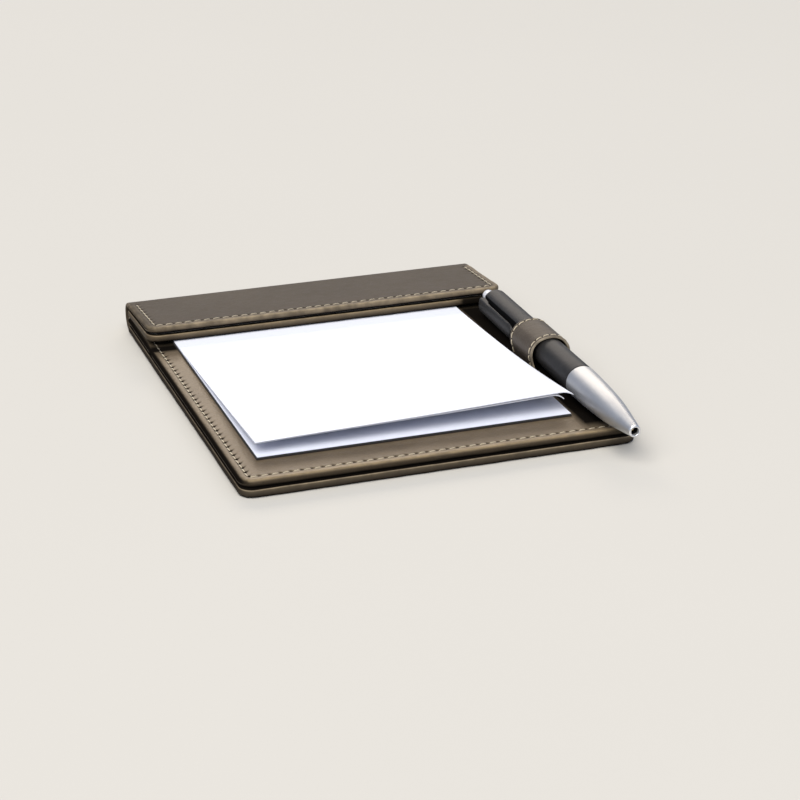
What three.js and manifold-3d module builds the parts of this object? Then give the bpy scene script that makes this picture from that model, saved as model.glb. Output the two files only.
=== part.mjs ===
// Leather memo-pad holder with a clamped pad, a pen loop and a push-button pen.
// Millimetres, +Z up. Origin: centre of the flat underside of the base.
// +X towards the pen side, +Y towards the folded back edge.
import * as THREE from "three";
import { mergeVertices } from "three/addons/utils/BufferGeometryUtils.js";
import Module from "manifold-3d";

const wasm = await Module();
wasm.setup();

// ---------------------------------------------------------------- driving sizes
const WIDTH = 132;            // base, left to right
const DEPTH = 156.6;          // base, front edge to the outside of the fold
const BOARD_END = 150.5;      // where the stiff boards stop and the leather hinge starts
const CORNER_R = 4.6;         // plan radius of the front corners
const SKIN = 1.0;             // leather with its turned-in backing
const FIT = 0.3;              // gap between a board and its leather

const LOWER_TOP = 3.25;       // lower leather tray, top of its edge
const UPPER_BOTTOM = 3.55;    // upper leather tray, bottom of its edge
const BASE_TOP = 6.05;        // writing surface of the base

const FLAP_FRONT = 118.5;     // front edge of the flap
const FLAP = {                // heights at the front edge and at the fold end
  bottom: [7.55, 6.35],
  midLow: [10.40, 8.95],
  midHigh: [10.70, 9.25],
  top: [13.20, 10.90],
};

const PAD_X = [9.2, 114.5];   // pad, left and right edge
const PAD_Y = [14.3, 140.0];  // pad, front edge and head
const CARD_Z = [6.30, 6.62];
const BLOCK_Z = [6.70, 7.00];
const SHEET_BEND_Y = 113.3;   // line where the loose sheets bend
const SHEET_FRONT_Y = 16.2;
const SHEET_T = 0.16;

const PEN_TIP = [122.98, -16.0, 11.75];
const PEN_YAW = Math.atan(0.01654);   // the pen lies a degree off the base's side
const PEN_JOIN = 43.8;        // tip to the seam between nose cone and barrel
const PEN_END = 122.0;        // tip to the rear end of the barrel

const LOOP_Y = [54.4, 73.2];
const LOOP_T = 0.8;

const CX = WIDTH / 2, CY = DEPTH / 2;   // shift to the part's origin

// ---------------------------------------------------------------- helpers
const lerp = (a, b, t) => a + (b - a) * t;

function toSolid(geometry) {
  const g = geometry.index ? geometry.toNonIndexed() : geometry.clone();
  for (const name of Object.keys(g.attributes)) if (name !== "position") g.deleteAttribute(name);
  const m = mergeVertices(g, 1e-4);
  const idx = m.index.array, keep = [];
  for (let i = 0; i < idx.length; i += 3) {
    const [a, b, c] = [idx[i], idx[i + 1], idx[i + 2]];
    if (a !== b && b !== c && a !== c) keep.push(a, b, c);
  }
  return new wasm.Manifold(new wasm.Mesh({
    numProp: 3,
    vertProperties: new Float32Array(m.attributes.position.array),
    triVerts: new Uint32Array(keep),
  }));
}

function toGeometry(solid) {
  const mesh = solid.getMesh();
  const g = new THREE.BufferGeometry();
  const n = mesh.numProp, count = mesh.vertProperties.length / n;
  const pos = new Float32Array(count * 3);
  for (let i = 0; i < count; i++) for (let k = 0; k < 3; k++) pos[i * 3 + k] = mesh.vertProperties[i * n + k];
  g.setAttribute("position", new THREE.BufferAttribute(pos, 3));
  g.setIndex(new THREE.BufferAttribute(new Uint32Array(mesh.triVerts), 1));
  g.computeVertexNormals();
  return g;
}

function fromFaces(points, faces) {
  const g = new THREE.BufferGeometry();
  g.setAttribute("position", new THREE.BufferAttribute(new Float32Array(points.flat()), 3));
  g.setIndex(faces.flat());
  return g;
}

// plan outline, counter-clockwise from above, with rounded front and rear corners
function planOutline(x0, x1, y0, y1, rFront, rRear, steps) {
  const out = [];
  const arc = (cx, cy, r, from) => {
    if (r < 0.05) { out.push([cx, cy]); return; }
    for (let i = 0; i <= steps; i++) {
      const a = from + (Math.PI / 2) * (i / steps);
      out.push([cx + r * Math.cos(a), cy + r * Math.sin(a)]);
    }
  };
  arc(x1 - rFront, y0 + rFront, rFront, -Math.PI / 2);
  arc(x1 - rRear, y1 - rRear, rRear, 0);
  arc(x0 + rRear, y1 - rRear, rRear, Math.PI / 2);
  arc(x0 + rFront, y0 + rFront, rFront, Math.PI);
  return out;
}

// slab lofted through rings; each ring has an inset from the left, front and right
// edges and a height that may change linearly from front to rear
function slab({ x0, x1, y0, y1, rf = 0, rr = 0, rings, steps = 4, rearInset = false }) {
  const points = [], faces = [];
  let n = 0;
  rings.forEach(({ inset, z }) => {
    const yr = rearInset ? y1 - inset : y1;
    const o = planOutline(x0 + inset, x1 - inset, y0 + inset, yr,
      rf ? Math.max(rf - inset, 0.4) : 0, rr, steps);
    n = o.length;
    for (const [x, y] of o) {
      const t = (y - y0) / (y1 - y0);
      points.push([x, y, Array.isArray(z) ? lerp(z[0], z[1], t) : z]);
    }
  });
  const R = rings.length;
  for (let r = 0; r < R - 1; r++) for (let i = 0; i < n; i++) {
    const a = r * n + i, b = r * n + ((i + 1) % n), c = a + n, d = b + n;
    faces.push([a, b, d], [a, d, c]);
  }
  for (let i = 1; i < n - 1; i++) {
    faces.push([0, i + 1, i]);
    faces.push([(R - 1) * n, (R - 1) * n + i, (R - 1) * n + i + 1]);
  }
  return fromFaces(points, faces);
}

// rings for a rolled edge: radius r at the bottom and top of a layer
function rolledRings(zBottom, zTop, rb, rt, seg = 4) {
  const add = (z, d) => Array.isArray(z) ? [z[0] + d, z[1] + d] : z + d;
  const rings = [];
  for (let i = 0; i <= seg; i++) {
    const a = (Math.PI / 2) * (i / seg);
    rings.push({ inset: rb * (1 - Math.sin(a)), z: add(zBottom, rb * (1 - Math.cos(a))) });
  }
  for (let i = seg; i >= 0; i--) {
    const a = (Math.PI / 2) * (i / seg);
    rings.push({ inset: rt * (1 - Math.sin(a)), z: add(zTop, -rt * (1 - Math.cos(a))) });
  }
  return rings;
}

// solid with the given section in the Y-Z plane, run along X
function runAlongX(section, x0, x1) {
  const s = new THREE.Shape(section.map(([y, z]) => new THREE.Vector2(y, z)));
  const g = new THREE.ExtrudeGeometry(s, { depth: x1 - x0, bevelEnabled: false });
  // shape x -> Y, shape y -> Z, depth -> X
  g.applyMatrix4(new THREE.Matrix4().set(0, 0, 1, x0, 1, 0, 0, 0, 0, 1, 0, 0, 0, 0, 0, 1));
  return g;
}

// solid with the given section in the X-Z plane, run along Y
function runAlongY(section, y0, y1) {
  const s = new THREE.Shape(section.map(([x, z]) => new THREE.Vector2(x, -z)));
  const g = new THREE.ExtrudeGeometry(s, { depth: y1 - y0, bevelEnabled: false });
  // shape x -> X, shape y -> -Z, depth -> Y
  g.applyMatrix4(new THREE.Matrix4().set(1, 0, 0, 0, 0, 0, 1, y0, 0, -1, 0, 0, 0, 0, 0, 1));
  return g;
}

function box(x0, x1, y0, y1, z0, z1) {
  const g = new THREE.BoxGeometry(x1 - x0, y1 - y0, z1 - z0);
  g.translate((x0 + x1) / 2, (y0 + y1) / 2, (z0 + z1) / 2);
  return g;
}

const union = (...g) => g.map((q) => (q.isBufferGeometry ? toSolid(q) : q)).reduce((a, b) => a.add(b));
const cut = (a, ...g) => g.map((q) => (q.isBufferGeometry ? toSolid(q) : q))
  .reduce((s, b) => s.subtract(b), a.isBufferGeometry ? toSolid(a) : a);

// ---------------------------------------------------------------- finishes
const mat = (color, roughness, metalness = 0) =>
  new THREE.MeshStandardMaterial({ color, roughness, metalness });
const LEATHER = mat(0x7d7060, 0.45);
const LEATHER_FLAP = mat(0x685d51, 0.45);
const BOARD = mat(0x8a8175, 0.9);
const THREAD = mat(0xc8b68c, 0.7);
const PAPER = mat(0xf6f6f8, 0.85);
const CARD = mat(0xd9d2c2, 0.9);
const GLUE = mat(0xeef0f2, 0.6);
const BLACK = mat(0x2e2d2d, 0.38);
const SILVER = mat(0xc3c3c6, 0.35, 0.7);
const WHITE = mat(0xe9e9ea, 0.3, 0.2);
const STEEL = mat(0xa9abad, 0.3, 0.9);
const BRASS = mat(0xb08d4a, 0.35, 0.9);
const INK = mat(0x26306a, 0.3);
const CAM = mat(0xd8d8d4, 0.5);

const part = new THREE.Group();
const frameGroup = new THREE.Group();      // everything laid out from the front-left corner
frameGroup.position.set(-CX, -CY, 0);
part.add(frameGroup);

function put(name, geometry, material, group = frameGroup) {
  const g = geometry.isBufferGeometry ? geometry : toGeometry(geometry);
  const mesh = new THREE.Mesh(g, material);
  mesh.name = name;
  group.add(mesh);
  return mesh;
}

// ---------------------------------------------------------------- leather cover, base half
const FOLD_MID = 5.5;         // height at which each leather's two halves part

const outerBaseTail = [[149.5, 0.02], [151.6, 0.25], [153.4, 0.95], [154.9, 2.05], [156.0, 3.4], [156.5, 4.8],
  [156.58, FOLD_MID - 0.15], [154.75, FOLD_MID - 0.15], [154.5, 4.5], [153.8, 3.3], [152.9, 2.4], [151.4, 1.7], [149.5, 1.3]];
const outerBase = cut(
  union(
    slab({ x0: 0, x1: WIDTH, y0: 0, y1: BOARD_END, rf: CORNER_R, rings: rolledRings(0, LOWER_TOP, 1.3, 1.05) }),
    runAlongX(outerBaseTail, 0.35, WIDTH - 0.35),
  ),
  box(SKIN + 0.1, WIDTH - SKIN - 0.1, SKIN + 0.1, BOARD_END - 1.2, 1.0, 8),
);
put("outer_cover_base", outerBase, LEATHER);

const innerBaseTail = [[149.5, 3.75], [151.0, 3.75], [152.3, 4.1], [153.0, 4.9], [153.1, FOLD_MID - 0.15],
  [151.6, FOLD_MID - 0.15], [151.2, 6.0], [149.5, 6.04]];
const legSlot = (x0, x1) => box(x0, x1, LOOP_Y[0] - 0.35, LOOP_Y[1] + 0.35, 3, 9);
const innerBase = cut(
  union(
    slab({ x0: 0, x1: WIDTH, y0: 0, y1: BOARD_END, rf: CORNER_R, rings: rolledRings(UPPER_BOTTOM, BASE_TOP, 1.0, 1.15) }),
    runAlongX(innerBaseTail, 0.9, WIDTH - 0.9),
  ),
  box(SKIN + 0.1, WIDTH - SKIN - 0.1, SKIN + 0.1, BOARD_END - 1.2, 2, 5.1),
  legSlot(117.35, 119.5),
  legSlot(128.9, 130.8),
);
put("inner_cover_base", innerBase, LEATHER);

// ---------------------------------------------------------------- boards of the base
const boardPlan = { x0: SKIN + 0.1 + FIT, x1: WIDTH - SKIN - 0.1 - FIT, y0: SKIN + 0.1 + FIT, y1: BOARD_END - 1.2 - FIT, rf: 3.2 };
put("base_board_lower", slab({ ...boardPlan, rings: [{ inset: 0, z: 1.3 }, { inset: 0, z: LOWER_TOP - 0.05 }] }), BOARD);
// the upper board has one window under the loop's ends, where they are glued down
const upperBoard = cut(
  slab({ ...boardPlan, rings: [{ inset: 0, z: UPPER_BOTTOM + 0.05 }, { inset: 0, z: 4.8 }] }),
  box(116.6, 131.5, LOOP_Y[0] - 1.2, LOOP_Y[1] + 1.2, 2, 8),
);
put("base_board_upper", upperBoard, BOARD);

// ---------------------------------------------------------------- seam threads
function uStrip({ y0, y1, inset, width, z0, z1, rf }) {
  const outer = slab({ x0: inset - width / 2, x1: WIDTH - inset + width / 2, y0: y0 + inset - width / 2, y1, rf,
    rings: [{ inset: 0, z: z0 }, { inset: 0, z: z1 }], steps: 5 });
  const inner = slab({ x0: inset + width / 2, x1: WIDTH - inset - width / 2, y0: y0 + inset + width / 2, y1: y1 + 30, rf: rf - width,
    rings: [{ inset: 0, z: -20 }, { inset: 0, z: 40 }], steps: 5 });
  return cut(outer, inner);
}
put("base_seam_thread", uStrip({ y0: 0, y1: 148.5, inset: 3.15, width: 0.5, z0: BASE_TOP + 0.05, z1: BASE_TOP + 0.22, rf: 2.2 }), THREAD);

// ---------------------------------------------------------------- leather cover, flap half
const flapOuterTail = [[156.58, FOLD_MID + 0.15], [156.5, 7.2], [156.1, 8.9], [155.0, 10.15], [153.2, 10.75], [149.5, 10.98],
  [149.5, 9.9], [152.6, 9.6], [154.0, 8.7], [154.7, 7.2], [154.75, FOLD_MID + 0.15]];
const zAtFlap = (pair, y) => lerp(pair[0], pair[1], (y - FLAP_FRONT) / (BOARD_END - FLAP_FRONT));
const shift = (pair, d) => [pair[0] + d, pair[1] + d];
const flapPlan = { x0: 0, x1: WIDTH, y0: FLAP_FRONT, y1: BOARD_END, rf: CORNER_R };
const flapCavity = (z0, z1) => slab({ x0: SKIN + 0.1, x1: WIDTH - SKIN - 0.1, y0: FLAP_FRONT + SKIN + 0.1, y1: BOARD_END - 1.2,
  rings: [{ inset: 0, z: z0 }, { inset: 0, z: z1 }] });
const outerFlap = cut(
  union(
    slab({ ...flapPlan, rings: rolledRings(FLAP.midHigh, FLAP.top, 0.8, 0.85) }),
    runAlongX([...flapOuterTail].reverse(), 0.35, WIDTH - 0.35),
  ),
  flapCavity([8.5, 7.0], shift(FLAP.top, -0.95)),
);
put("outer_cover_flap", outerFlap, LEATHER_FLAP);

const flapInnerTail = [[149.5, 6.45], [151.2, 6.42], [151.6, FOLD_MID + 0.15], [153.1, FOLD_MID + 0.15], [153.05, 7.2], [152.4, 8.3],
  [151.2, 8.8], [149.5, 8.9]];
const innerFlap = cut(
  union(
    slab({ ...flapPlan, rings: rolledRings(FLAP.bottom, FLAP.midLow, 1.15, 0.95) }),
    runAlongX(flapInnerTail, 0.9, WIDTH - 0.9),
  ),
  flapCavity(shift(FLAP.bottom, 1.15), [14, 13]),
  // the pad's head beds into the soft underside
  box(PAD_X[0] - 0.8, PAD_X[1] + 0.8, FLAP_FRONT - 5, PAD_Y[1] + 1.4, 5, BLOCK_Z[1] + 0.3),
);
put("inner_cover_flap", innerFlap, LEATHER_FLAP);

const flapBoard = (z0, z1) => slab({ x0: SKIN + 0.1 + FIT, x1: WIDTH - SKIN - 0.1 - FIT, y0: FLAP_FRONT + SKIN + 0.1 + FIT,
  y1: BOARD_END - 1.2 - FIT, rf: 3.0, rings: [{ inset: 0, z: z0 }, { inset: 0, z: z1 }] });
put("flap_board_upper", flapBoard(shift(FLAP.midHigh, 0.02), [FLAP.top[0] - 1.25, FLAP.top[1] - 1.2]), BOARD);
put("flap_board_lower", flapBoard([FLAP.bottom[0] + 1.45, FLAP.bottom[1] + 1.45], shift(FLAP.midLow, -0.02)), BOARD);

put("flap_seam_thread", uStrip({ y0: FLAP_FRONT, y1: 149.5, inset: 3.1, width: 0.5,
  z0: [FLAP.top[0] - 0.17, FLAP.top[1] + 0.04 + 0.07], z1: [FLAP.top[0] + 0.02, FLAP.top[1] + 0.2 + 0.07], rf: 2.2 }), THREAD);

// ---------------------------------------------------------------- pen loop
// outer line of the strap seen from the front, left end to right end
const loopLine = new THREE.CatmullRomCurve3([
  [118.35, 4.0], [118.3, 5.4], [117.65, 7.4], [116.95, 9.8], [116.77, 12.3], [117.35, 14.5], [119.1, 16.45], [121.6, 17.6],
  [124.3, 17.92], [127.0, 17.45], [129.4, 15.95], [130.95, 13.7], [131.45, 11.3], [131.2, 8.8], [130.45, 6.9], [130.05, 5.4], [130.05, 4.0],
].map(([x, z]) => new THREE.Vector3(x, 0, z)), false, "centripetal");
const loopPts = loopLine.getPoints(40).map((p) => [p.x, p.z]);
function offsetLine(pts, d) {
  return pts.map(([x, z], i) => {
    const a = pts[Math.max(0, i - 1)], b = pts[Math.min(pts.length - 1, i + 1)];
    const tx = b[0] - a[0], tz = b[1] - a[1], L = Math.hypot(tx, tz);
    return [x - (tz / L) * d, z + (tx / L) * d];   // to the left of the direction of travel
  });
}
// travelling from the left end up and over, "left" is the outside of the loop
const loopSection = (dIn, dOut, from = 0, to = loopPts.length) => {
  const o = offsetLine(loopPts, dOut).slice(from, to), i = offsetLine(loopPts, dIn).slice(from, to);
  return [...o, ...i.reverse()];
};
put("pen_loop", runAlongY(loopSection(-LOOP_T, 0), LOOP_Y[0], LOOP_Y[1]), LEATHER);
const n0 = 6, n1 = loopPts.length - 6;
put("pen_loop_thread_front", runAlongY(loopSection(0.05, 0.2, n0, n1), LOOP_Y[0] + 1.3, LOOP_Y[0] + 1.7), THREAD);
put("pen_loop_thread_rear", runAlongY(loopSection(0.05, 0.2, n0, n1), LOOP_Y[1] - 1.7, LOOP_Y[1] - 1.3), THREAD);

// ---------------------------------------------------------------- writing pad
put("pad_backing_card", box(PAD_X[0], PAD_X[1], PAD_Y[0], PAD_Y[1], CARD_Z[0], CARD_Z[1]), CARD);
put("pad_sheet_block", box(PAD_X[0], PAD_X[1], PAD_Y[0], PAD_Y[1], BLOCK_Z[0], BLOCK_Z[1]), PAPER);
put("pad_glue_binding", box(PAD_X[0], PAD_X[1], PAD_Y[1] + 0.06, PAD_Y[1] + 0.5, CARD_Z[0], BLOCK_Z[1]), GLUE);

// a lifted sheet: flat at the bend line, rising to its front edge, higher on the right,
// with its right edge curling down
function liftedSheet({ z0, liftLeft, liftRight, curl, xShift, yShift }) {
  const nx = 12, ny = 10, top = [], bot = [];
  const x0 = PAD_X[0] + 0.1, x1 = PAD_X[1] - 0.1 + xShift;
  for (let j = 0; j <= ny; j++) for (let i = 0; i <= nx; i++) {
    const u = i < 9 ? (i / 9) * 0.955 : 0.955 + ((i - 9) / 3) * 0.045;
    const t = j / ny;
    const x = lerp(x0, x1, u), y = lerp(SHEET_BEND_Y, SHEET_FRONT_Y + yShift, t);
    const s = Math.pow(t, 1.25);
    let z = z0 + lerp(liftLeft, liftRight, u) * s;
    const c = Math.max(0, (u - 0.955) / 0.045);
    z -= curl * c * c * s;
    top.push([x, y, z + SHEET_T]); bot.push([x, y, z]);
  }
  const pts = [...top, ...bot], N = top.length, f = [], id = (i, j) => j * (nx + 1) + i;
  for (let j = 0; j < ny; j++) for (let i = 0; i < nx; i++) {
    const a = id(i, j), b = id(i + 1, j), c = id(i + 1, j + 1), d = id(i, j + 1);
    f.push([a, d, c], [a, c, b], [a + N, c + N, d + N], [a + N, b + N, c + N]);
  }
  const rim = [];
  for (let i = 0; i < nx; i++) rim.push(id(i, 0));
  for (let j = 0; j < ny; j++) rim.push(id(nx, j));
  for (let i = nx; i > 0; i--) rim.push(id(i, ny));
  for (let j = ny; j > 0; j--) rim.push(id(0, j));
  rim.forEach((a, k) => { const b = rim[(k + 1) % rim.length]; f.push([a, b, b + N], [a, b + N, a + N]); });
  return fromFaces(pts, f);
}
put("second_sheet", toSolid(liftedSheet({ z0: 7.10, liftLeft: 2.9, liftRight: 5.6, curl: 1.7, xShift: -1.2, yShift: 0.3 })), PAPER);
put("top_sheet", toSolid(liftedSheet({ z0: 7.36, liftLeft: 3.6, liftRight: 6.5, curl: 1.3, xShift: 0.0, yShift: 0.0 })), PAPER);

// ---------------------------------------------------------------- pen (its own axis along +Y, tip at 0)
const pen = new THREE.Group();
pen.position.set(...PEN_TIP);
pen.rotation.z = -PEN_YAW;
frameGroup.add(pen);

const turned = (profile, seg = 28) => new THREE.LatheGeometry(profile.map(([r, s]) => new THREE.Vector2(r, s)), seg);

// nose cone: bullet shape, tip hole, seat for the spring, threaded socket at the rear
put("pen_nose_cone", toSolid(turned([
  [1.25, 0.0], [1.6, 0.0], [1.85, 0.15], [1.98, 0.5], [2.4, 3.2], [3.05, 7.4], [3.62, 11.4], [4.12, 15.2], [4.62, 20.2], [5.02, 27.0], [5.3, 34.0], [5.46, 40.0], [5.5, 43.6], [5.4, PEN_JOIN],
  [4.35, PEN_JOIN], [4.35, 36.6], [2.9, 36.6], [2.9, 14.5], [2.15, 8.4], [1.55, 8.2], [1.25, 5.0], [1.25, 0.0],
])), SILVER, pen);

const barrelR = (s) => lerp(5.44, 4.66, (s - PEN_JOIN) / (PEN_END - PEN_JOIN));
const barrel = cut(
  turned([
    [3.1, 37.0], [4.05, 37.0], [4.05, PEN_JOIN + 0.25], [5.3, PEN_JOIN + 0.25], [barrelR(44.6), 44.6], [barrelR(83), 83], [barrelR(121.2), 121.2], [4.3, 121.9], [4.0, PEN_END],
    [2.3, PEN_END], [2.3, 119.6], [3.1, 119.6], [3.1, 37.0],
  ]),
  // flat recess under the clip
  box(-9, -3.65, 92.3, PEN_END + 1, -9, 9),
);
put("pen_barrel", barrel, BLACK, pen);

// clip: flat arm standing off the recess, with a root at the rear end and a pip at its free end
const CLIP_X = [-6.2, -5.1];
const clipShape = new THREE.Shape();
clipShape.moveTo(93.4, -1.0); clipShape.absarc(95.0, -1.0, 1.6, Math.PI, Math.PI * 1.5, false);
clipShape.lineTo(121.4, -2.6); clipShape.lineTo(121.9, -2.1); clipShape.lineTo(121.9, 2.1); clipShape.lineTo(121.4, 2.6);
clipShape.lineTo(95.4, 2.6); clipShape.absarc(95.4, 0.6, 2.0, Math.PI / 2, Math.PI, false);
clipShape.lineTo(93.4, -1.0);
const clipArm = new THREE.ExtrudeGeometry(clipShape, { depth: CLIP_X[1] - CLIP_X[0], bevelEnabled: false, curveSegments: 5 });
// shape x -> +Y, shape y -> +Z, depth -> +X
clipArm.applyMatrix4(new THREE.Matrix4().set(0, 0, 1, CLIP_X[0], 1, 0, 0, 0, 0, 1, 0, 0, 0, 0, 0, 1));
const clipEdgeTrim = (sgn) => {
  const g = runAlongYLocal([[-6.4, sgn * 1.1], [-5.5, sgn * 2.75], [-6.6, sgn * 3.2]], 90, 125, sgn);
  return g;
};
function runAlongYLocal(section, y0, y1, sgn) {
  const pts = sgn > 0 ? section : [...section].reverse();
  return runAlongY(pts, y0, y1);
}
put("pen_clip", cut(union(clipArm, box(-5.4, -3.95, 119.0, 121.8, -2.2, 2.2), box(-5.3, -4.75, 94.8, 96.2, -0.7, 0.7)),
  clipEdgeTrim(1), clipEdgeTrim(-1)), BLACK, pen);

// push button, with the plunger it pushes
put("pen_button", toSolid(turned([
  [0, 113.5], [1.95, 113.5], [1.95, 126.4], [1.85, 127.3], [1.5, 128.0], [0.9, 128.45], [0, 128.6],
], 24)), WHITE, pen);
put("pen_cam_plunger", toSolid(turned([
  [0, 106.6], [1.6, 106.6], [1.6, 108.0], [2.5, 108.0], [2.5, 109.6], [1.9, 110.4], [1.9, 113.2], [0, 113.2],
], 20)), CAM, pen);
put("pen_cam_sleeve", toSolid(turned([
  [2.65, 98.0], [2.95, 98.0], [2.95, 119.2], [2.15, 119.2], [2.15, 116.6], [2.65, 115.6], [2.65, 98.0],
], 24)), CAM, pen);

// refill and return spring
put("pen_refill_tube", toSolid(turned([
  [0, 26.6], [1.5, 26.6], [1.5, 106.3], [0, 106.3],
], 16)), INK, pen);
put("pen_refill_tip", toSolid(turned([
  [0, 1.9], [0.4, 2.0], [0.95, 4.2], [0.95, 8.0], [1.2, 11.0], [1.2, 22.6], [2.05, 22.6], [2.05, 24.0], [1.35, 24.6], [1.35, 26.3], [0, 26.3],
], 16)), BRASS, pen);

class Helix extends THREE.Curve {
  constructor(r, s0, s1, turns) { super(); Object.assign(this, { r, s0, s1, turns }); }
  getPoint(t, target = new THREE.Vector3()) {
    const a = t * this.turns * Math.PI * 2;
    return target.set(this.r * Math.cos(a), lerp(this.s0, this.s1, t), this.r * Math.sin(a));
  }
}
const wire = new THREE.Shape();
wire.absarc(0, 0, 0.22, 0, Math.PI * 2, false);
put("pen_spring", toSolid(new THREE.ExtrudeGeometry(wire, {
  extrudePath: new Helix(1.72, 9.1, 22.2, 7), steps: 84, curveSegments: 3, bevelEnabled: false,
})), STEEL, pen);

export default part;
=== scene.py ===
import math

import bpy
import numpy as np
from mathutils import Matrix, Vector, noise


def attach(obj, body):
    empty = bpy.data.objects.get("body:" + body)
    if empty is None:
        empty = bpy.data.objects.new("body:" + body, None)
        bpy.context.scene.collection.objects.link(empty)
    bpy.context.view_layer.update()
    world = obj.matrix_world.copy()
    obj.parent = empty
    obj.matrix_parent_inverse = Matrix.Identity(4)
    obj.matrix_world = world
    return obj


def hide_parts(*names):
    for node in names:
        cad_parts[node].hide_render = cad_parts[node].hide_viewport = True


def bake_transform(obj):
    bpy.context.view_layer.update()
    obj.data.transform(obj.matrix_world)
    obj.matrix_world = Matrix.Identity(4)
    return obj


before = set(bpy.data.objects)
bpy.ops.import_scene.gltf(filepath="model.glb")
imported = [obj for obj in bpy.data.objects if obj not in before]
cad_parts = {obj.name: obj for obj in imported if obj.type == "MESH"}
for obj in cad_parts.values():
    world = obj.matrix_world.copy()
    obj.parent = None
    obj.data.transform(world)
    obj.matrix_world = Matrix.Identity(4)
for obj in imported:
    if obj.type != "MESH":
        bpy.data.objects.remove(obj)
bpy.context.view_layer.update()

# ------------------------------------------------------------------ layout (mm, from the base's front-left corner)
W, BOARD_END, CORNER_R = 132.0, 150.5, 4.6
FLAP_FRONT = 118.5
PITCH = 3.4
SEAM = 3.15
PEN_TIP = (122.98, -16.0, 11.75)
PEN_YAW = math.atan(0.01654)
SHIFT = np.array([66.0, 78.3, 0.0])


def lerp(a, b, t):
    return a + (b - a) * t


def smooth(a, b, x):
    t = min(1.0, max(0.0, (x - a) / (b - a)))
    return t * t * (3 - 2 * t)


def n1(a, b=0.0, c=0.0):
    return noise.noise(Vector((a, b, c)))


def pen_place(v):
    v = np.asarray(v, float)
    c, s = math.cos(PEN_YAW), math.sin(PEN_YAW)
    x = v[:, 0] * c + v[:, 1] * s + PEN_TIP[0]
    y = -v[:, 0] * s + v[:, 1] * c + PEN_TIP[1]
    return np.stack([x, y, v[:, 2] + PEN_TIP[2]], 1)


def build(name, verts, faces, mat, place=None, attrs=None, uvs=None, smooth_on=True, sharp=None):
    v = np.asarray(verts, float)
    if place is not None:
        v = place(v)
    v = (v - SHIFT) * 0.001
    me = bpy.data.meshes.new(name)
    me.from_pydata(v.tolist(), [], [list(map(int, f)) for f in faces])
    me.validate()
    for key, values in (attrs or {}).items():
        a = me.attributes.new(key, "FLOAT", "POINT")
        a.data.foreach_set("value", np.asarray(values, np.float32))
    if uvs is not None:
        layer = me.uv_layers.new(name="UVMap")
        vi = np.zeros(len(me.loops), np.int32)
        me.loops.foreach_get("vertex_index", vi)
        layer.data.foreach_set("uv", np.asarray(uvs, np.float32)[vi].ravel())
    me.polygons.foreach_set("use_smooth", [smooth_on] * len(me.polygons))
    if sharp is not None:
        me.set_sharp_from_angle(angle=math.radians(sharp))
    me.materials.append(mat)
    ob = bpy.data.objects.new(name, me)
    bpy.context.scene.collection.objects.link(ob)
    return ob


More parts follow.
